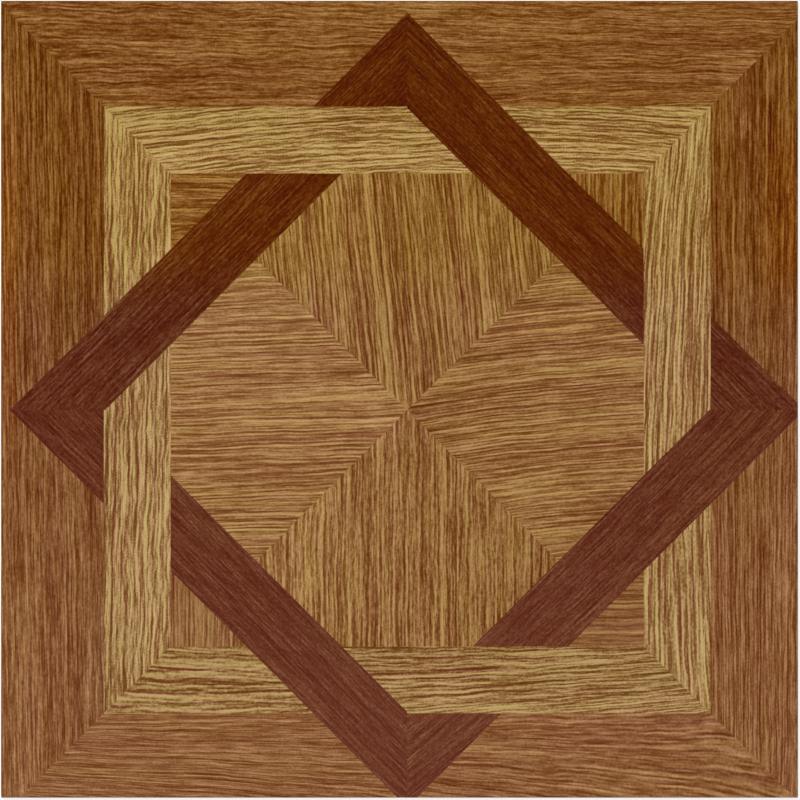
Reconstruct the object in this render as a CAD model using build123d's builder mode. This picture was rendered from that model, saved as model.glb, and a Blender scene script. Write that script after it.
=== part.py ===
"""Vinyl floor tile: one flat, die-cut square of filled vinyl, lying printed face up.

The origin is the middle of the back face. +Z points out of the printed face and +Y towards the
tile's far edge in the reference view. All lengths are in millimetres.
"""
import os

from build123d import *

os.makedirs("parts", exist_ok=True)

# The sheet: a tile sold as 12 inches square.
tile_side = 304.8
tile_thickness = 2.0

# The cut: a punch leaves the upright corners a little blunt, rolls the printed face's rim over
# and leaves only a fine break on the back's rim.
corner_radius = 0.4
face_rim_radius = 0.25
back_rim_break = 0.1


with BuildPart() as tile:
    with BuildSketch(Plane.XY):
        RectangleRounded(tile_side, tile_side, corner_radius)
    extrude(amount=tile_thickness)

    printed_face = tile.faces().sort_by(Axis.Z)[-1]
    fillet(printed_face.edges(), radius=face_rim_radius)

    back_face = tile.faces().sort_by(Axis.Z)[0]
    chamfer(back_face.edges(), length=back_rim_break)

tile.part.label = "tile"
export_step(tile.part, "parts/tile.step")
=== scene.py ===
"""Looks of a vinyl floor tile whose face is printed as oak parquet.

The tile lies printed face up on a pale studio floor and is seen from straight above. Its printed
face shows a parquet star: a pale oak band laid square and a dark oak band laid on the diagonal,
interlaced over a frame and a centre of mid oak boards. Lengths in the print are millimetres.
"""
import logging
import math
from dataclasses import dataclass, field
from enum import Enum
from typing import Sequence, Union

import bmesh
import bpy
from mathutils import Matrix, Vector


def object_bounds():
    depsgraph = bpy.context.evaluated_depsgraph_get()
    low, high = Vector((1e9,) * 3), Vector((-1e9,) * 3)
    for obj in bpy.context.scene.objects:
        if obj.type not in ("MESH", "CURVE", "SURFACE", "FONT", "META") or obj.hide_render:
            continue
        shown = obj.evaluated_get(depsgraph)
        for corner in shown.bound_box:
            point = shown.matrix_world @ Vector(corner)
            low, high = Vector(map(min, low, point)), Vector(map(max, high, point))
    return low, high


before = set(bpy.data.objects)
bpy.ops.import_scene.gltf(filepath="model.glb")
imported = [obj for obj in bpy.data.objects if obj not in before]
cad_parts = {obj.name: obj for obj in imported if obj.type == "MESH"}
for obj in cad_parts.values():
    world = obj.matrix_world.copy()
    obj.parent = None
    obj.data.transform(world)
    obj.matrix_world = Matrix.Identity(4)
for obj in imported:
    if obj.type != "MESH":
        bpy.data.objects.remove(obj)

CAD_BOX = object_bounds()
MM = 0.001

# The shares of red, green and blue in the lightness of a colour on the display scale.
RED_SHARE = 0.299
GREEN_SHARE = 0.587
BLUE_SHARE = 0.114

# The display scale's curve: linear light is ((shown + lift) / (1 + lift)) to this power.
DISPLAY_LIFT = 0.055
DISPLAY_POWER = 2.4

log = logging.getLogger("vinyl_tile")


class Wood(Enum):
    """The printed woods, in the order of the board tables."""

    FRAME = 0
    PALE = 1
    DARK = 2
    CENTRE = 3
    CORNER = 4


@dataclass(frozen=True)
class Sweep:
    """How a board's grain lines stand off its length, as slopes.

    Lean is the slope along the board's middle line. Fan is how much the slope grows over 100 mm
    outwards across the board, and bow how much it grows over 50 mm along it.
    """

    lean: float = 0.0
    fan: float = 0.0
    bow: float = 0.0


@dataclass(frozen=True)
class Board:
    """One printed board: its shade, how the shade drifts over the tile, and its grain.

    Lightness is on the display scale from 0 to 1. The drifts are its change over half a tile,
    to the right and towards the far edge. Coarseness scales the grain's bands across the grain,
    length scales its streaks along the grain, and wobble is how far its lines wander off their
    sweep, in millimetres. Contrast scales its wood's.
    """

    lightness: float
    drift_right: float = 0.0
    drift_far: float = 0.0
    coarseness: float = 1.0
    length: float = 1.0
    wobble: float = 0.5
    sweep: Sweep = Sweep()
    contrast: float = 1.0


@dataclass(frozen=True)
class WoodTone:
    """A wood's contrast and colour, shared by its boards.

    Contrast is the spread of the grain's lightness. Red and blue are how far those channels
    stand off the lightness, and how much that changes on the tile's far part, with the broad
    streaks and with the fine grain.
    """

    contrast: float
    red: float
    red_far: float
    red_by_streak: float
    red_by_grain: float
    blue: float
    blue_far: float
    blue_by_streak: float
    blue_by_grain: float


BOARDS: dict[Wood, tuple[Board, Board, Board, Board]] = {
    # top, right, bottom, left
    Wood.FRAME: (
        Board(0.36, length=0.6, wobble=1.2, sweep=Sweep(fan=0.15)),
        Board(0.35, 0.10, -0.05, coarseness=0.85, wobble=0.4, sweep=Sweep(fan=-0.1)),
        Board(0.40, 0.00, 0.10, wobble=0.9, sweep=Sweep(lean=0.05, fan=0.35)),
        Board(0.35, -0.10, -0.05, coarseness=1.2, wobble=0.35, sweep=Sweep(lean=0.02)),
    ),
    Wood.PALE: (
        Board(0.50, 0.00, -0.30, 0.75, 0.55, 0.6, Sweep(lean=-0.03, bow=0.05)),
        Board(0.50, -0.05, 0.00, 1.00, 1.15, 0.5, Sweep(lean=-0.03, fan=0.15, bow=-0.03)),
        Board(0.47, 0.00, -0.20, 1.00, 0.90, 0.6, Sweep(lean=-0.03, fan=-0.25, bow=-0.03)),
        Board(0.50, 0.15, 0.00, 1.00, 0.60, 0.5, Sweep(lean=-0.02)),
    ),
    # upper right, lower right, lower left, upper left
    Wood.DARK: (
        Board(0.21, 0.05, coarseness=0.9, length=1.3, wobble=0.3),
        Board(0.26, 0.00, -0.05, 0.90, 1.30, 0.3, Sweep(lean=0.03, fan=0.1, bow=-0.04)),
        Board(0.26, 0.00, -0.05, 1.30, 1.30, 0.3, Sweep(fan=0.15)),
        Board(0.21, -0.05, 0.00, 1.10, 1.40, 0.3, Sweep(fan=0.1), contrast=1.1),
    ),
    # top, right, bottom, left
    Wood.CENTRE: (
        Board(0.41, -0.05, 0.00, 0.95, 0.90, 0.6, Sweep(lean=0.1)),
        Board(0.43, 0.05, 0.00, 0.75, 1.30, 0.6, Sweep(lean=-0.15, bow=0.05)),
        Board(0.42, -0.10, 0.00, 0.95, 0.60, 0.6),
        Board(0.46, 0.00, 0.05, 0.90, 1.30, 0.6, Sweep(lean=-0.03)),
    ),
    # upper right, lower right, lower left, upper left
    Wood.CORNER: (
        Board(0.36, 0.00, 0.15, length=0.8, contrast=1.1),
        Board(0.41, 0.15, -0.25, length=1.2, contrast=0.9),
        Board(0.41, 0.00, -0.10, coarseness=0.9),
        Board(0.39, -0.05, 0.05, coarseness=1.1, contrast=1.2),
    ),
}

TONES: dict[Wood, WoodTone] = {
    # contrast, then red and its changes, then blue and its changes
    Wood.FRAME: WoodTone(0.057, 0.147, 0.005, -0.10, -0.03, -0.182, -0.035, -0.55, -0.07),
    Wood.PALE: WoodTone(0.091, 0.124, 0.000, -0.17, -0.03, -0.205, -0.030, -0.28, -0.03),
    Wood.DARK: WoodTone(0.029, 0.147, 0.015, -0.10, -0.05, -0.124, -0.060, -0.60, -0.12),
    Wood.CENTRE: WoodTone(0.076, 0.140, 0.000, -0.16, -0.03, -0.204, -0.030, -0.42, -0.07),
    Wood.CORNER: WoodTone(0.063, 0.140, 0.010, -0.16, -0.03, -0.187, -0.050, -0.38, -0.10),
}


@dataclass(frozen=True)
class Stain:
    """A soft-edged patch or streak where one wood's tone stands off its board's.

    Its place and half sizes are in half tiles from the print's middle, to the right and towards
    the far edge. Light, red and blue are what it adds on the display scale. It fades from the
    core to the rim, which are shares of its half sizes.
    """

    wood: Wood
    right: float
    far: float
    half_wide: float
    half_deep: float
    light: float = 0.0
    red: float = 0.0
    blue: float = 0.0
    core: float = 0.4
    rim: float = 1.6

    def share(self, point: "PrintPoint") -> "Signal":
        """Works out how fully the stain shows at a point.

        Args:
            point: where on the print.

        Returns:
            1 inside the stain, 0 outside it, and a blend at its edge.
        """
        beside = (point.right - self.right).size()
        beyond = (point.far - self.far).size()
        outside = beside.step(self.core * self.half_wide, self.rim * self.half_wide)
        outside = outside.at_least(beyond.step(self.core * self.half_deep, self.rim * self.half_deep))
        return point.woods[self.wood] * (1.0 - outside)


STAINS: tuple[Stain, ...] = (
    # the golden strip, the pale streak and the darker patch on the left side
    Stain(Wood.FRAME, -1.00, 0.30, 0.02, 0.40, red=0.02, blue=-0.03),
    Stain(Wood.FRAME, -0.99, 0.60, 0.01, 0.20, light=0.06),
    Stain(Wood.FRAME, -0.84, 0.35, 0.05, 0.20, light=-0.03),
    # the pale streak low on the left side
    Stain(Wood.FRAME, -0.78, -0.60, 0.03, 0.15, light=0.06, red=-0.01),
    # the golden brown patch and the pale streak on the right side
    Stain(Wood.FRAME, 0.95, 0.50, 0.05, 0.20, light=-0.04, red=0.02, blue=-0.02),
    Stain(Wood.FRAME, 0.83, 0.78, 0.04, 0.10, light=0.06),
    # the dark line in the centre's top board and the pale patches near its middle
    Stain(Wood.CENTRE, 0.00, 0.42, 0.01, 0.20, light=-0.04),
    Stain(Wood.CENTRE, 0.35, 0.22, 0.13, 0.04, light=0.05, blue=-0.02),
    Stain(Wood.CENTRE, -0.05, -0.05, 0.05, 0.05, light=0.04),
)


@dataclass(frozen=True)
class ToneCurve:
    """How a wood's grain is bent to tones: a soft limit at its light and dark ends."""

    bend: float
    offset: float
    middle: float
    spread: float

    @classmethod
    def of(cls, bend: float, offset: float) -> "ToneCurve":
        """Returns a curve whose middle and spread are those it gives an even grain.

        Args:
            bend: how soon the ends are limited.
            offset: how far the grain is shifted towards one end.

        Returns:
            The curve.
        """
        reach = 4
        steps_a_unit = 10
        steps = [step / steps_a_unit for step in range(-reach * steps_a_unit, reach * steps_a_unit + 1)]
        weights = [math.exp(-step * step / 2) for step in steps]
        shades = [math.tanh(bend * (step + offset)) for step in steps]
        total = sum(weights)
        middle = sum(w * t for w, t in zip(weights, shades)) / total
        spread = math.sqrt(sum(w * (t - middle) ** 2 for w, t in zip(weights, shades)) / total)
        return cls(bend, offset, middle, spread)


CURVES: dict[Wood, ToneCurve] = {
    Wood.FRAME: ToneCurve.of(0.25, -0.2),
    Wood.PALE: ToneCurve.of(0.55, 0.3),
    Wood.DARK: ToneCurve.of(0.12, -4.0),
    Wood.CENTRE: ToneCurve.of(0.42, 0.1),
    Wood.CORNER: ToneCurve.of(0.45, 0.0),
}


Number = Union[float, int]


class Signal:
    """One number for each point of a surface, carried by a node's output."""

    def __init__(self, sheet: "NodeSheet", socket: bpy.types.NodeSocket) -> None:
        """Keeps the sheet of nodes and the output that carries the number."""
        self.sheet = sheet
        self.socket = socket

    def _with(self, operation: str, *others: "Operand") -> "Signal":
        """Returns the result of a Math node on this signal and others."""
        return self.sheet.math(operation, self, *others)

    def __add__(self, other: "Operand") -> "Signal":
        """Returns the sum."""
        return self._with("ADD", other)

    __radd__ = __add__

    def __sub__(self, other: "Operand") -> "Signal":
        """Returns the difference."""
        return self._with("SUBTRACT", other)

    def __rsub__(self, other: "Operand") -> "Signal":
        """Returns the difference, taken from a plain number."""
        return self.sheet.math("SUBTRACT", other, self)

    def __mul__(self, other: "Operand") -> "Signal":
        """Returns the product."""
        return self._with("MULTIPLY", other)

    def __truediv__(self, other: "Operand") -> "Signal":
        """Returns the quotient."""
        return self._with("DIVIDE", other)

    def __neg__(self) -> "Signal":
        """Returns the signal with its sign turned."""
        return self._with("MULTIPLY", -1.0)

    def above(self, limit: "Operand") -> "Signal":
        """Returns 1 where the signal is above the limit, else 0."""
        return self._with("GREATER_THAN", limit)

    def below(self, limit: "Operand") -> "Signal":
        """Returns 1 where the signal is below the limit, else 0."""
        return self._with("LESS_THAN", limit)

    def size(self) -> "Signal":
        """Returns the signal without its sign."""
        return self._with("ABSOLUTE")

    def sign(self) -> "Signal":
        """Returns 1, 0 or -1 as the signal's sign."""
        return self._with("SIGN")

    def at_least(self, other: "Operand") -> "Signal":
        """Returns the larger of the two."""
        return self._with("MAXIMUM", other)

    def at_most(self, other: "Operand") -> "Signal":
        """Returns the smaller of the two."""
        return self._with("MINIMUM", other)

    def mixed(self, low: "Operand", high: "Operand") -> "Signal":
        """Returns low where the signal is 0 and high where it is 1."""
        return self.sheet.mix(self, low, high)

    def step(self, start: Number, end: Number) -> "Signal":
        """Returns a smooth rise from 0 at start to 1 at end."""
        return self.sheet.smooth_step(self, start, end)


Operand = Union[Signal, float, int]


class NodeSheet:
    """Writes a material's nodes from plain arithmetic."""

    def __init__(self, tree: bpy.types.NodeTree) -> None:
        """Keeps the node tree that the nodes go into."""
        self.tree = tree

    def node(self, kind: str, **settings: object) -> bpy.types.Node:
        """Adds a node.

        Args:
            kind: the node's type name.
            **settings: values for the node's own properties.

        Returns:
            The new node.
        """
        made = self.tree.nodes.new(kind)
        for name, value in settings.items():
            setattr(made, name, value)
        return made

    def feed(self, socket: bpy.types.NodeSocket, value: Operand) -> None:
        """Links a signal to an input, or writes a plain number on it."""
        if isinstance(value, Signal):
            self.tree.links.new(value.socket, socket)
        else:
            socket.default_value = value

    def math(self, operation: str, *values: Operand) -> Signal:
        """Adds a Math node.

        Args:
            operation: the node's operation.
            *values: its inputs in order.

        Returns:
            The result as a signal.
        """
        made = self.node("ShaderNodeMath", operation=operation)
        for socket, value in zip(made.inputs, values):
            self.feed(socket, value)
        return Signal(self, made.outputs[0])

    def mix(self, share: Signal, low: Operand, high: Operand) -> Signal:
        """Returns low where share is 0, high where it is 1, and a blend between."""
        made = self.node("ShaderNodeMix", data_type="FLOAT", clamp_factor=False)
        for socket, value in zip(made.inputs[:1] + made.inputs[2:4], (share, low, high)):
            self.feed(socket, value)
        return Signal(self, made.outputs[0])

    def smooth_step(self, value: Signal, start: Number, end: Number) -> Signal:
        """Returns a smooth rise from 0 where value is start to 1 where it is end."""
        made = self.node("ShaderNodeMapRange", interpolation_type="SMOOTHSTEP")
        for socket, number in zip(made.inputs[:5], (value, start, end, 0.0, 1.0)):
            self.feed(socket, number)
        return Signal(self, made.outputs[0])

    def split(self, vector: bpy.types.NodeSocket) -> tuple[Signal, Signal, Signal]:
        """Returns a vector output's three numbers."""
        made = self.node("ShaderNodeSeparateXYZ")
        self.tree.links.new(vector, made.inputs[0])
        return tuple(Signal(self, out) for out in made.outputs)

    def join(self, *numbers: Operand) -> bpy.types.NodeSocket:
        """Returns a vector output made of three numbers."""
        made = self.node("ShaderNodeCombineXYZ")
        for socket, number in zip(made.inputs, numbers):
            self.feed(socket, number)
        return made.outputs[0]

    def noise(self, across: Operand, along: Operand, layer: Operand) -> Signal:
        """Adds smooth noise that is about even round 0.

        Args:
            across: place across the grain, in cells of the noise.
            along: place along the grain, in cells of the noise.
            layer: the slice of the noise, one for each board and use.

        Returns:
            The noise, from -1 to 1.
        """
        made = self.node("ShaderNodeTexNoise", noise_dimensions="3D", normalize=True)
        self.tree.links.new(self.join(across, along, layer), made.inputs["Vector"])
        made.inputs["Scale"].default_value = 1.0
        made.inputs["Detail"].default_value = 0.0
        out = next(out for out in made.outputs if out.name in ("Fac", "Factor"))
        return Signal(self, out) * 2.0 - 1.0

    def stepped(self, place: Signal, columns: Sequence[Sequence[float]]) -> list[Signal]:
        """Adds a colour ramp of even steps, one channel for each column.

        Args:
            place: where on the ramp, from 0 to 1.
            columns: one to three columns of shades from 0 to 1, one shade a step.

        Returns:
            Each column's shade at that place.
        """
        made = self.node("ShaderNodeValToRGB")
        stops = made.color_ramp.elements
        made.color_ramp.interpolation = "CONSTANT"
        steps = len(columns[0])
        for index in range(steps):
            stop = stops[0] if index == 0 else stops.new(index / steps)
            shades = [column[index] for column in columns]
            stop.color = (*shades, *[0.0] * (3 - len(shades)), 1.0)
        stops.remove(stops[-1])
        self.feed(made.inputs[0], place)
        return list(self.split(made.outputs[0]))[:len(columns)]

    def display_colour(self, red: Signal, green: Signal, blue: Signal) -> bpy.types.NodeSocket:
        """Returns a colour output in linear light from channels on the display scale."""
        shown = self.node("ShaderNodeVectorMath", operation="MULTIPLY_ADD")
        self.tree.links.new(self.join(red, green, blue), shown.inputs[0])
        shown.inputs[1].default_value = (1 / (1 + DISPLAY_LIFT),) * 3
        shown.inputs[2].default_value = (DISPLAY_LIFT / (1 + DISPLAY_LIFT),) * 3
        linear = self.node("ShaderNodeGamma")
        linear.inputs["Gamma"].default_value = DISPLAY_POWER
        self.tree.links.new(shown.outputs[0], linear.inputs["Color"])
        return linear.outputs[0]


class BoardTables:
    """Looks up each board's own numbers with stepped colour ramps, three numbers a ramp."""

    # The least range of a column, so that one whose numbers are all the same can be scaled too.
    least: float = 1e-6

    def __init__(self, sheet: NodeSheet, board: Signal) -> None:
        """Lists the boards and their woods in order of the boards' numbers.

        Args:
            sheet: writes the nodes.
            board: the board's number, from 0.
        """
        self.sheet = sheet
        self.boards = [board for wood in Wood for board in BOARDS[wood]]
        self.woods = [wood for wood in Wood for _ in BOARDS[wood]]
        self.place = (board + 0.5) / len(self.boards)

    def numbers(self, *columns: Sequence[float]) -> list[Signal]:
        """Returns up to three columns of numbers, one number a board, as signals."""
        ranges = [(min(column), max(max(column), min(column) + self.least)) for column in columns]
        shades = [
            [(number - low) / (high - low) for number in column]
            for column, (low, high) in zip(columns, ranges)
        ]
        channels = self.sheet.stepped(self.place, shades)
        return [
            channel * (high - low) + low
            for channel, (low, high) in zip(channels, ranges)
        ]


@dataclass(frozen=True)
class ParquetLayout:
    """Where the printed boards lie on the tile.

    The print's middle stands a little off the tile's middle, as it was cut. Bands are measured
    from the print's middle: the pale one lies square to the tile, the dark one on the diagonal.
    The centre's boards have their middles at this share of the way to the pale band, and the
    corner boards, which are triangles, at two thirds of the way from their tip to their base.
    """

    middle_right: float = 2.96
    middle_far: float = -4.11
    pale_inner: float = 90.45
    pale_outer: float = 116.03
    dark_inner: float = 81.65
    dark_outer: float = 107.46
    half_tile: float = CAD_BOX[1][0] / MM
    centre_share: float = 0.6

    @property
    def frame_line(self) -> float:
        """Returns how far the frame boards' middle lines stand from the print's middle."""
        return (self.pale_outer + self.half_tile) / 2

    @property
    def pale_line(self) -> float:
        """Returns how far the pale band's middle line stands from the print's middle."""
        return (self.pale_inner + self.pale_outer) / 2

    @property
    def dark_line(self) -> float:
        """Returns how far the dark band's middle line stands from the print's middle."""
        return (self.dark_inner + self.dark_outer) / 2

    def board_middles(self) -> list[tuple[float, float]]:
        """Returns each board's middle, right and far, in half tiles from the print's middle."""
        reach = {
            Wood.FRAME: self.frame_line / self.half_tile,
            Wood.PALE: self.pale_line / self.half_tile,
            Wood.CENTRE: self.centre_share * self.pale_inner / self.half_tile,
        }
        across_square = math.sqrt(0.5) / self.half_tile
        tip = math.sqrt(2) * self.pale_inner
        diagonal = {
            Wood.DARK: self.dark_line * across_square,
            Wood.CORNER: (2 * self.dark_outer + tip) / 3 * across_square,
        }
        middles: list[tuple[float, float]] = []
        for wood in Wood:
            if wood in reach:
                far = reach[wood]
                middles += [(0.0, far), (far, 0.0), (0.0, -far), (-far, 0.0)]
            else:
                side = diagonal[wood]
                middles += [(side, side), (side, -side), (-side, -side), (-side, side)]
        return middles


@dataclass
class PrintPoint:
    """What the print is at a point: which wood and board, and where in its grain.

    Along and across are millimetres from the print's middle, and outward is millimetres from the
    middle line of the point's band, away from the print's middle.
    """

    right: Signal
    far: Signal
    woods: dict[Wood, Signal]
    board: Signal
    along: Signal
    across: Signal
    outward: Signal


class ParquetMap:
    """Works out the board and the grain's direction at each point of the print."""

    def __init__(self, sheet: NodeSheet, layout: ParquetLayout) -> None:
        """Keeps the sheet of nodes and the layout."""
        self.sheet = sheet
        self.layout = layout

    def point(self, right: Signal, far: Signal) -> PrintPoint:
        """Places a point of the tile on the print.

        Args:
            right: millimetres to the right of the tile's middle.
            far: millimetres from the tile's middle towards its far edge.

        Returns:
            The print at that point.
        """
        lay = self.layout
        x = right - lay.middle_right
        y = far - lay.middle_far
        rising = (x + y) * math.sqrt(0.5)
        falling = (y - x) * math.sqrt(0.5)
        square = x.size().at_least(y.size())
        diamond = rising.size().at_least(falling.size())
        beside = x.size().above(y.size())
        rising_leg = rising.size().above(falling.size())

        in_pale = square.above(lay.pale_inner) * square.below(lay.pale_outer)
        in_dark = diamond.above(lay.dark_inner) * diamond.below(lay.dark_outer)
        clockwise = beside.mixed(x * y.sign(), -(y * x.sign()))
        pale = in_pale * (1.0 - in_dark).at_least(clockwise.below(0.0))
        dark = in_dark * (1.0 - pale)
        within = square.below(lay.pale_inner) * (1.0 - in_dark)
        corner = within * diamond.above(lay.dark_inner)
        centre = within - corner

        on_diagonal = dark + corner
        square_side = beside.mixed(1.0 - y.sign(), 2.0 - x.sign())
        diamond_side = rising_leg.mixed(2.0 + falling.sign(), 1.0 - rising.sign())
        side = on_diagonal.mixed(square_side, diamond_side)
        woods = {
            Wood.FRAME: 1.0 - pale - dark - centre - corner,
            Wood.PALE: pale,
            Wood.DARK: dark,
            Wood.CENTRE: centre,
            Wood.CORNER: corner,
        }
        number = sum((share * wood.value for wood, share in woods.items()), start=0.0)

        upright = corner.mixed(centre.mixed(beside, 1.0 - beside), rising_leg)
        along = upright.mixed(x, y)
        across = upright.mixed(y, x)
        along = dark.mixed(along, rising_leg.mixed(rising, falling))
        across = dark.mixed(across, rising_leg.mixed(falling, rising))
        lines = woods[Wood.FRAME] * lay.frame_line + pale * lay.pale_line + dark * lay.dark_line
        return PrintPoint(
            right=x / lay.half_tile,
            far=y / lay.half_tile,
            woods=woods,
            board=number * len(BOARDS[Wood.FRAME]) + side,
            along=along,
            across=across,
            outward=across.size() - lines,
        )


@dataclass(frozen=True)
class GrainLayer:
    """One layer of the grain: streaks of one size, with a strength in each wood.

    Pitch is the streaks' size across the grain and length their size along it, in millimetres.
    Strengths are in the order of the woods. A waved layer runs in light and dark bands that
    drift; a plain one is smooth noise. A pressed layer is felt as well as seen: its streaks are
    the pores that the face's relief follows.
    """

    pitch: float
    length: float
    strengths: tuple[float, float, float, float, float]
    waved: bool = False
    broad: bool = False
    pressed: bool = False


@dataclass
class GrainTone:
    """The grain's tone: all of it, its broad part and its pores, each about even round 0."""

    whole: Signal
    broad: Signal
    pores: Signal


@dataclass(frozen=True)
class GrainSeeds:
    """Keeps each board's and each layer's noise apart, so that no two show the same grain.

    A board's shift and slide step by these shares of their spans from board to board.
    """

    shift_step: float = 0.618034
    shift_span: float = 97.0
    slide_step: float = 0.754878
    slide_span: float = 89.0
    first: float = 0.41
    by_board: float = 5.37
    by_layer: float = 1.37
    wave: float = 0.23
    ripple: float = 0.71

    def shifts(self, count: int) -> list[float]:
        """Returns how far each board's noise is shifted across the grain."""
        return [(index * self.shift_step) % 1.0 * self.shift_span for index in range(count)]

    def slides(self, count: int) -> list[float]:
        """Returns how far each board's noise is shifted along the grain."""
        return [(index * self.slide_step) % 1.0 * self.slide_span for index in range(count)]

    def slices(self, count: int) -> list[float]:
        """Returns each board's slice of the noise."""
        return [index * self.by_board + self.first for index in range(count)]


@dataclass(frozen=True)
class OakGrain:
    """Oak's printed grain: fine pore lines of many lengths over drifting bands of tone.

    The lines wander in slow waves with a little ripple, whose sizes are in millimetres. A waved
    layer's bands drift by a share of their pitch, and the drift changes over a few bands.
    """

    layers: tuple[GrainLayer, ...] = (
        GrainLayer(0.60, 1.0, (1.3, 1.3, 2.4, 1.0, 1.0)),
        GrainLayer(0.55, 4.0, (1.4, 0.9, 1.4, 1.4, 1.4)),
        GrainLayer(0.55, 8.0, (1.7, 1.2, 2.3, 1.1, 1.1), pressed=True),
        GrainLayer(0.55, 15.0, (1.9, 0.9, 2.1, 1.3, 1.3), pressed=True),
        GrainLayer(0.60, 30.0, (1.6, 1.6, 1.6, 0.9, 0.9)),
        GrainLayer(0.70, 90.0, (2.2, 1.3, 0.0, 1.9, 1.9)),
        GrainLayer(1.70, 12.0, (0.3, 0.7, 0.2, 0.2, 0.2), waved=True),
        GrainLayer(1.70, 40.0, (0.2, 0.3, 0.3, 0.6, 0.6), waved=True),
        GrainLayer(2.90, 50.0, (0.1, 0.5, 0.0, 0.5, 0.5), waved=True, broad=True),
        GrainLayer(3.50, 50.0, (0.3, 0.7, 0.0, 0.3, 0.3), waved=True, broad=True),
        GrainLayer(4.00, 30.0, (0.1, 0.8, 0.8, 0.8, 0.8), broad=True),
        GrainLayer(8.00, 85.0, (0.7, 0.9, 0.6, 1.0, 1.1), broad=True),
    )
    drift: float = 0.75
    drift_bands: float = 2.2
    wave_across: float = 14.0
    wave_along: float = 19.0
    ripple_across: float = 3.0
    ripple_along: float = 5.0
    ripple_share: float = 0.2
    slope_span: float = 100.0
    seeds: GrainSeeds = GrainSeeds()

    def draw(self, sheet: NodeSheet, point: PrintPoint, tables: BoardTables) -> GrainTone:
        """Draws the grain on the boards.

        Args:
            sheet: writes the nodes.
            point: where in a board's grain the point is.
            tables: the boards' own numbers.

        Returns:
            The grain's tone.
        """
        seeds = self.seeds
        count = len(tables.boards)
        sweeps = [board.sweep for board in tables.boards]
        lean, fan, bow = tables.numbers(
            [sweep.lean for sweep in sweeps],
            [sweep.fan for sweep in sweeps],
            [sweep.bow for sweep in sweeps],
        )
        coarseness, length, wobble = tables.numbers(
            [1 / board.coarseness for board in tables.boards],
            [1 / board.length for board in tables.boards],
            [board.wobble for board in tables.boards],
        )
        shift, slide, seed = tables.numbers(
            seeds.shifts(count),
            seeds.slides(count),
            seeds.slices(count),
        )
        turn = fan * point.outward + bow * point.along
        sweep = point.along * (turn / self.slope_span + lean)
        along = point.along * length
        straight = point.across + sweep
        wave = sheet.noise(
            straight / self.wave_across + shift,
            point.along / self.wave_along + slide,
            seed + seeds.wave,
        )
        ripple = sheet.noise(
            straight / self.ripple_across + shift,
            point.along / self.ripple_along + slide,
            seed + seeds.ripple,
        )
        across = straight + (wave + ripple * self.ripple_share) * wobble

        fine: Operand = 0.0
        broad: Operand = 0.0
        pores: Operand = 0.0
        for number, layer in enumerate(self.layers):
            strength, = tables.numbers([layer.strengths[wood.value] for wood in tables.woods])
            place = along / layer.length + slide
            slice_ = seed + number * seeds.by_layer
            if layer.waved:
                bands = across * coarseness / layer.pitch
                drift = sheet.noise(bands / self.drift_bands + shift, place, slice_)
                turns = bands + drift * self.drift
                streak = sheet.math("COSINE", turns * (2 * math.pi))
            else:
                streak = sheet.noise(across / layer.pitch + shift, place, slice_)
            if layer.pressed:
                pores = streak + pores
            streak = streak * strength
            if layer.broad:
                broad = streak + broad
            else:
                fine = streak + fine
        return GrainTone(whole=fine + broad, broad=broad, pores=pores)


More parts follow.
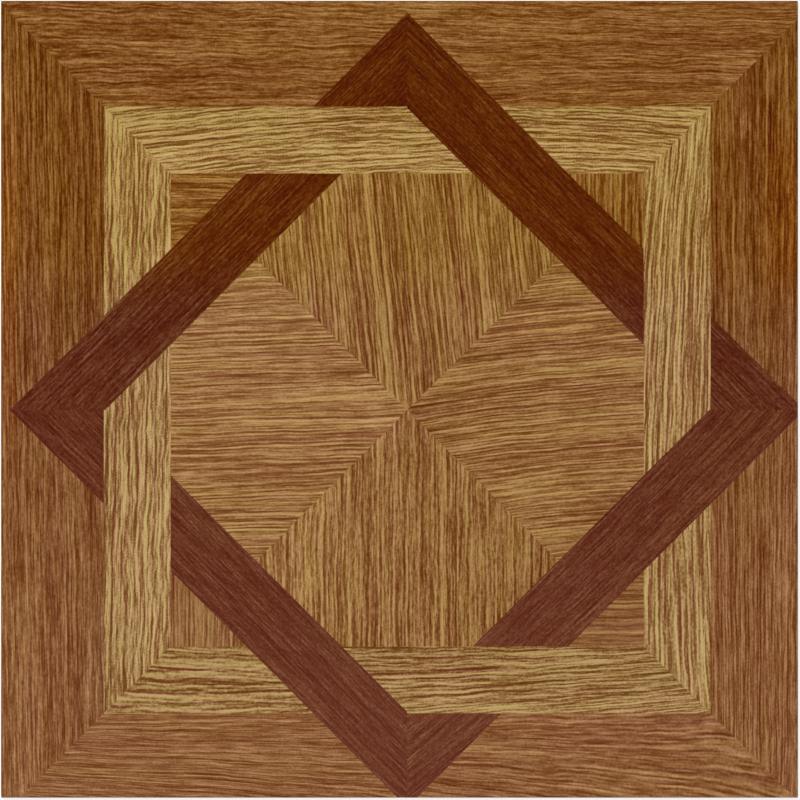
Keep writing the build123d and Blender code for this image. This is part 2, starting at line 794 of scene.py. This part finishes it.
@dataclass(frozen=True)
class PrintedVinyl:
    """The tile's finish: a parquet print under a satin wear layer, on a filled vinyl body.

    The print, and the painted shade that darkens the rounded rim, each begin and end at a height
    over the back, in millimetres. The tile's far part begins and ends at shares of half a tile.
    """

    name: str = "printed_vinyl"
    layout: ParquetLayout = field(default_factory=ParquetLayout)
    grain: OakGrain = field(default_factory=OakGrain)
    body_colour: tuple[float, float, float, float] = (0.36, 0.30, 0.23, 1.0)
    body_roughness: float = 0.75
    # painted shade: a near-black colour laid on the rim below the face, standing in for the shade where
    # the edge turns down
    rim_shade_colour: tuple[float, float, float, float] = (0.035, 0.018, 0.008, 1.0)
    rim_shade_from: float = 1.90
    rim_shade_full: float = 1.98
    print_from: float = 1.68
    print_full: float = 1.74
    satin: float = 0.28
    satin_by_pore: float = -0.04
    pore_depth: float = 0.008
    gloss: float = 0.3
    refraction: float = 1.5
    glare: float = 0.0017
    clearness: float = 0.985
    streak_share: float = 0.8
    far_from: float = 0.225
    far_full: float = 0.425

    def build(self) -> bpy.types.Material:
        """Builds the material.

        Returns:
            The finished material.
        """
        material = bpy.data.materials.new(self.name)
        material.use_nodes = True
        material.node_tree.nodes.clear()
        sheet = NodeSheet(material.node_tree)
        coordinates = sheet.node("ShaderNodeTexCoord")
        right, far, up = (part * (1 / MM) for part in sheet.split(coordinates.outputs["Object"]))

        point = ParquetMap(sheet, self.layout).point(right, far)
        tables = BoardTables(sheet, point.board)
        tone = self.grain.draw(sheet, point, tables)
        colour = self.print_colour(sheet, point, tables, tone)

        printed = up.step(self.print_from, self.print_full)
        links = material.node_tree.links
        # painted shade: below the face the rim is mixed to near black, standing in for the shade where
        # the edge turns down and damping the sheen it would catch
        rim_shade_mix = sheet.node("ShaderNodeMix", data_type="RGBA")
        sheet.feed(rim_shade_mix.inputs[0], up.step(self.rim_shade_from, self.rim_shade_full))
        rim_shade_mix.inputs[6].default_value = self.rim_shade_colour
        links.new(self.under_wear_layer(sheet, colour), rim_shade_mix.inputs[7])
        blend = sheet.node("ShaderNodeMix", data_type="RGBA")
        sheet.feed(blend.inputs[0], printed)
        blend.inputs[6].default_value = self.body_colour
        links.new(rim_shade_mix.outputs[2], blend.inputs[7])

        shader = sheet.node("ShaderNodeBsdfPrincipled")
        output = sheet.node("ShaderNodeOutputMaterial")
        links.new(blend.outputs[2], shader.inputs["Base Color"])
        links.new(shader.outputs[0], output.inputs["Surface"])
        shader.inputs["IOR"].default_value = self.refraction
        shader.inputs["Specular IOR Level"].default_value = self.gloss
        satin = tone.pores * self.satin_by_pore + self.satin
        sheet.feed(shader.inputs["Roughness"], printed.mixed(self.body_roughness, satin))

        relief = sheet.node("ShaderNodeBump")
        relief.inputs["Distance"].default_value = self.pore_depth * MM
        sheet.feed(relief.inputs["Strength"], printed)
        sheet.feed(relief.inputs["Height"], tone.pores)
        links.new(relief.outputs["Normal"], shader.inputs["Normal"])
        return material

    def under_wear_layer(self, sheet: NodeSheet,
                         colour: bpy.types.NodeSocket) -> bpy.types.NodeSocket:
        """Makes up for the glare and the little light lost in the clear wear layer."""
        shown = sheet.node("ShaderNodeVectorMath", operation="MULTIPLY_ADD")
        sheet.tree.links.new(colour, shown.inputs[0])
        shown.inputs[1].default_value = (1 / self.clearness,) * 3
        shown.inputs[2].default_value = (-self.glare / self.clearness,) * 3
        printed = sheet.node("ShaderNodeVectorMath", operation="MAXIMUM")
        sheet.tree.links.new(shown.outputs[0], printed.inputs[0])
        printed.inputs[1].default_value = (0.0,) * 3
        return printed.outputs[0]

    def print_colour(self, sheet: NodeSheet, point: PrintPoint, tables: BoardTables,
                     tone: GrainTone) -> bpy.types.NodeSocket:
        """Works out the print's colour.

        Args:
            sheet: writes the nodes.
            point: where on the print.
            tables: the boards' own numbers.
            tone: the grain's tone there.

        Returns:
            The colour output, in linear light.
        """
        base = [
            board.lightness - board.drift_right * right - board.drift_far * far
            for board, (right, far) in zip(tables.boards, self.layout.board_middles())
        ]
        lightness, = tables.numbers(base)
        drift_right, drift_far, contrast = tables.numbers(
            [board.drift_right for board in tables.boards],
            [board.drift_far for board in tables.boards],
            [board.contrast * TONES[wood].contrast
             for board, wood in zip(tables.boards, tables.woods)],
        )
        drift = point.right * drift_right + point.far * drift_far
        curves = [CURVES[wood] for wood in tables.woods]
        bend, offset, middle = tables.numbers(
            [curve.bend for curve in curves],
            [curve.offset for curve in curves],
            [curve.middle for curve in curves],
        )
        spread, = tables.numbers([1.0 / curve.spread for curve in curves])
        bent = sheet.math("TANH", (tone.whole + offset) * bend) - middle
        grain = bent * spread * contrast
        streak = tone.broad * contrast * self.streak_share
        stained_light, stained_red, stained_blue = self.stained(point)
        luma = lightness + drift + grain + stained_light

        far_end = point.far.step(self.far_from, self.far_full)
        red = self.offset(tables, "red", far_end, streak, grain - streak) + stained_red
        blue = self.offset(tables, "blue", far_end, streak, grain - streak) + stained_blue
        green = (red * RED_SHARE + blue * BLUE_SHARE) * (-1 / GREEN_SHARE)
        channels = [(luma + part).at_least(0.0).at_most(1.0) for part in (red, green, blue)]
        return sheet.display_colour(*channels)

    def stained(self, point: PrintPoint) -> tuple[Operand, Operand, Operand]:
        """Works out what the stains add at a point.

        Args:
            point: where on the print.

        Returns:
            What they add to the lightness, the red and the blue.
        """
        light: Operand = 0.0
        red: Operand = 0.0
        blue: Operand = 0.0
        for stain in STAINS:
            share = stain.share(point)
            if stain.light:
                light = share * stain.light + light
            if stain.red:
                red = share * stain.red + red
            if stain.blue:
                blue = share * stain.blue + blue
        return light, red, blue

    def offset(self, tables: BoardTables, channel: str, far_end: Signal, streak: Signal,
               grain: Signal) -> Signal:
        """Works out how far red or blue stands off the lightness.

        Args:
            tables: the boards' own numbers.
            channel: red or blue.
            far_end: 0 on the near part of the tile and 1 on the far part.
            streak: the broad streaks' tone.
            grain: the fine grain's tone.

        Returns:
            The channel less the lightness.
        """
        def column(name: str) -> list[float]:
            """Returns one field of every board's wood."""
            return [getattr(TONES[wood], channel + name) for wood in tables.woods]

        base, at_far, by_streak = tables.numbers(column(""), column("_far"), column("_by_streak"))
        by_grain, = tables.numbers(column("_by_grain"))
        return base + at_far * far_end + by_streak * streak + by_grain * grain


@dataclass
class Tile:
    """The tile: one die-cut sheet, whose shape is the CAD node's own."""

    node: str = "tile"
    finish: PrintedVinyl = field(default_factory=PrintedVinyl)

    def dress(self) -> bpy.types.Object:
        """Gives the CAD node its finish.

        Returns:
            The dressed node.
        """
        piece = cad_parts[self.node]
        material = self.finish.build()
        for slot in piece.material_slots:
            slot.link = "OBJECT"
            slot.material = material
        return piece


@dataclass
class StudioFloor:
    """The pale floor under the tile, white to the camera, with the tile's shadow kept."""

    half_side: float = 6.0
    gap: float = 0.00005
    albedo: tuple[float, float, float, float] = (0.80, 0.80, 0.79, 1.0)
    shown_colour: tuple[float, float, float, float] = (1.0, 1.0, 0.985, 1.0)
    glow_share: float = 0.70

    def build(self) -> bpy.types.Object:
        """Builds the floor just under the tile's back.

        Returns:
            The floor.
        """
        mesh = bpy.data.meshes.new("studio_floor")
        shape = bmesh.new()
        bmesh.ops.create_grid(shape, x_segments=1, y_segments=1, size=self.half_side)
        bmesh.ops.translate(shape, verts=shape.verts, vec=Vector((0.0, 0.0, -self.gap)))
        shape.to_mesh(mesh)
        shape.free()
        floor = bpy.data.objects.new("studio_floor", mesh)
        bpy.context.scene.collection.objects.link(floor)
        mesh.materials.append(self.paint())
        return floor

    def paint(self) -> bpy.types.Material:
        """Builds the floor's material.

        Returns:
            A matt material that the camera sees as white.
        """
        material = bpy.data.materials.new("floor_white")
        material.use_nodes = True
        tree = material.node_tree
        tree.nodes.clear()
        sheet = NodeSheet(tree)
        matt = sheet.node("ShaderNodeBsdfDiffuse")
        matt.inputs["Color"].default_value = self.albedo
        bright = sheet.node("ShaderNodeBsdfDiffuse")
        bright.inputs["Color"].default_value = self.shown_colour
        glow = sheet.node("ShaderNodeEmission")
        glow.inputs["Color"].default_value = self.shown_colour
        shown = sheet.node("ShaderNodeMixShader")
        shown.inputs[0].default_value = self.glow_share
        choice = sheet.node("ShaderNodeMixShader")
        path = sheet.node("ShaderNodeLightPath")
        output = sheet.node("ShaderNodeOutputMaterial")
        tree.links.new(bright.outputs[0], shown.inputs[1])
        tree.links.new(glow.outputs[0], shown.inputs[2])
        tree.links.new(path.outputs["Is Camera Ray"], choice.inputs[0])
        tree.links.new(matt.outputs[0], choice.inputs[1])
        tree.links.new(shown.outputs[0], choice.inputs[2])
        tree.links.new(choice.outputs[0], output.inputs["Surface"])
        return material


@dataclass
class SoftStudio:
    """Even studio light: a white room, dark straight overhead, and one soft lamp.

    The dark part overhead keeps the room's glare off a sheet seen from above, and the walls are
    dimmer near the floor, so that a low view has little glare too. Directions are given by their
    rise, where 0 is level and 1 is straight up.
    """

    room_strength: float = 1.36
    foot_strength: float = 0.42
    foot_until: float = 0.12
    walls_from: float = 0.55
    lamp_share: float = 0.21
    lamp_place: tuple[float, float, float] = (-3.7, 3.3, 3.5)
    lamp_side: float = 2.6
    dark_from: float = 0.74
    dark_full: float = 0.90

    def build(self) -> None:
        """Builds the world and the lamp."""
        self.build_world()
        self.build_lamp()

    def build_world(self) -> None:
        """Builds the room: white to the camera, even on the object, dark where it would glare."""
        world = bpy.data.worlds.new("studio_room")
        bpy.context.scene.world = world
        world.use_nodes = True
        tree = world.node_tree
        tree.nodes.clear()
        sheet = NodeSheet(tree)
        path = sheet.node("ShaderNodeLightPath")
        camera_ray = Signal(sheet, path.outputs["Is Camera Ray"])
        way = sheet.node("ShaderNodeTexCoord")
        rise = sheet.split(way.outputs["Generated"])[2]
        walls = rise.step(self.foot_until, self.walls_from)
        light = walls.mixed(self.foot_strength, self.room_strength)
        light = rise.step(self.dark_from, self.dark_full).mixed(light, 0.0)
        strength = camera_ray.mixed(light, 1.0)
        room = sheet.node("ShaderNodeBackground")
        room.inputs["Color"].default_value = (1.0, 1.0, 1.0, 1.0)
        sheet.feed(room.inputs["Strength"], strength)
        output = sheet.node("ShaderNodeOutputWorld")
        tree.links.new(room.outputs[0], output.inputs["Surface"])

    def build_lamp(self) -> None:
        """Builds the soft lamp, aimed at the tile and never mirrored in it."""
        place = Vector(self.lamp_place)
        light = bpy.data.lights.new("soft_lamp", "AREA")
        light.shape = "SQUARE"
        light.size = self.lamp_side
        falling = place.z / place.length
        light.energy = self.lamp_share * math.pi ** 2 * place.length_squared / falling
        lamp = bpy.data.objects.new("soft_lamp", light)
        lamp.location = place
        lamp.rotation_euler = (-place).to_track_quat("-Z", "Y").to_euler()
        lamp.visible_glossy = False
        bpy.context.scene.collection.objects.link(lamp)


@dataclass
class OverheadCamera:
    """The camera of the reference view: straight down, the tile filling the frame.

    Lengths are in millimetres, apart from the nearest and farthest that it sees, in metres.
    """

    centre_right: float = 0.19
    centre_far: float = -0.29
    frame_width: float = 305.95
    face_height: float = CAD_BOX[1][2] / MM
    lens: float = 200.0
    sensor: float = 36.0
    nearest: float = 0.1
    farthest: float = 50.0

    def build(self) -> bpy.types.Object:
        """Builds the camera and makes it the scene's own.

        Returns:
            The camera.
        """
        data = bpy.data.cameras.new("overhead_camera")
        data.lens = self.lens
        data.sensor_width = self.sensor
        data.clip_start = self.nearest
        data.clip_end = self.farthest
        camera = bpy.data.objects.new("overhead_camera", data)
        height = self.face_height + self.frame_width * self.lens / self.sensor
        camera.location = Vector((self.centre_right, self.centre_far, height)) * MM
        bpy.context.scene.collection.objects.link(camera)
        bpy.context.scene.camera = camera
        return camera


def main() -> None:
    """Builds the stage, dresses the tile and reports each piece."""
    logging.basicConfig(level=logging.INFO, format="%(name)s: %(message)s")
    bpy.context.scene.view_settings.view_transform = "Standard"
    camera = OverheadCamera().build()
    log.info("camera %s looks straight down from %.3f m", camera.name, camera.location.z)
    floor = StudioFloor().build()
    log.info("stage %s is %.1f m square", floor.name, 2 * floor.data.vertices[0].co.x)
    SoftStudio().build()
    log.info("room and soft lamp are set")
    piece = Tile().dress()
    log.info("piece %s has %d faces and the finish %s", piece.name,
             len(piece.data.polygons), piece.material_slots[0].material.name)


if __name__ == "__main__":
    main()
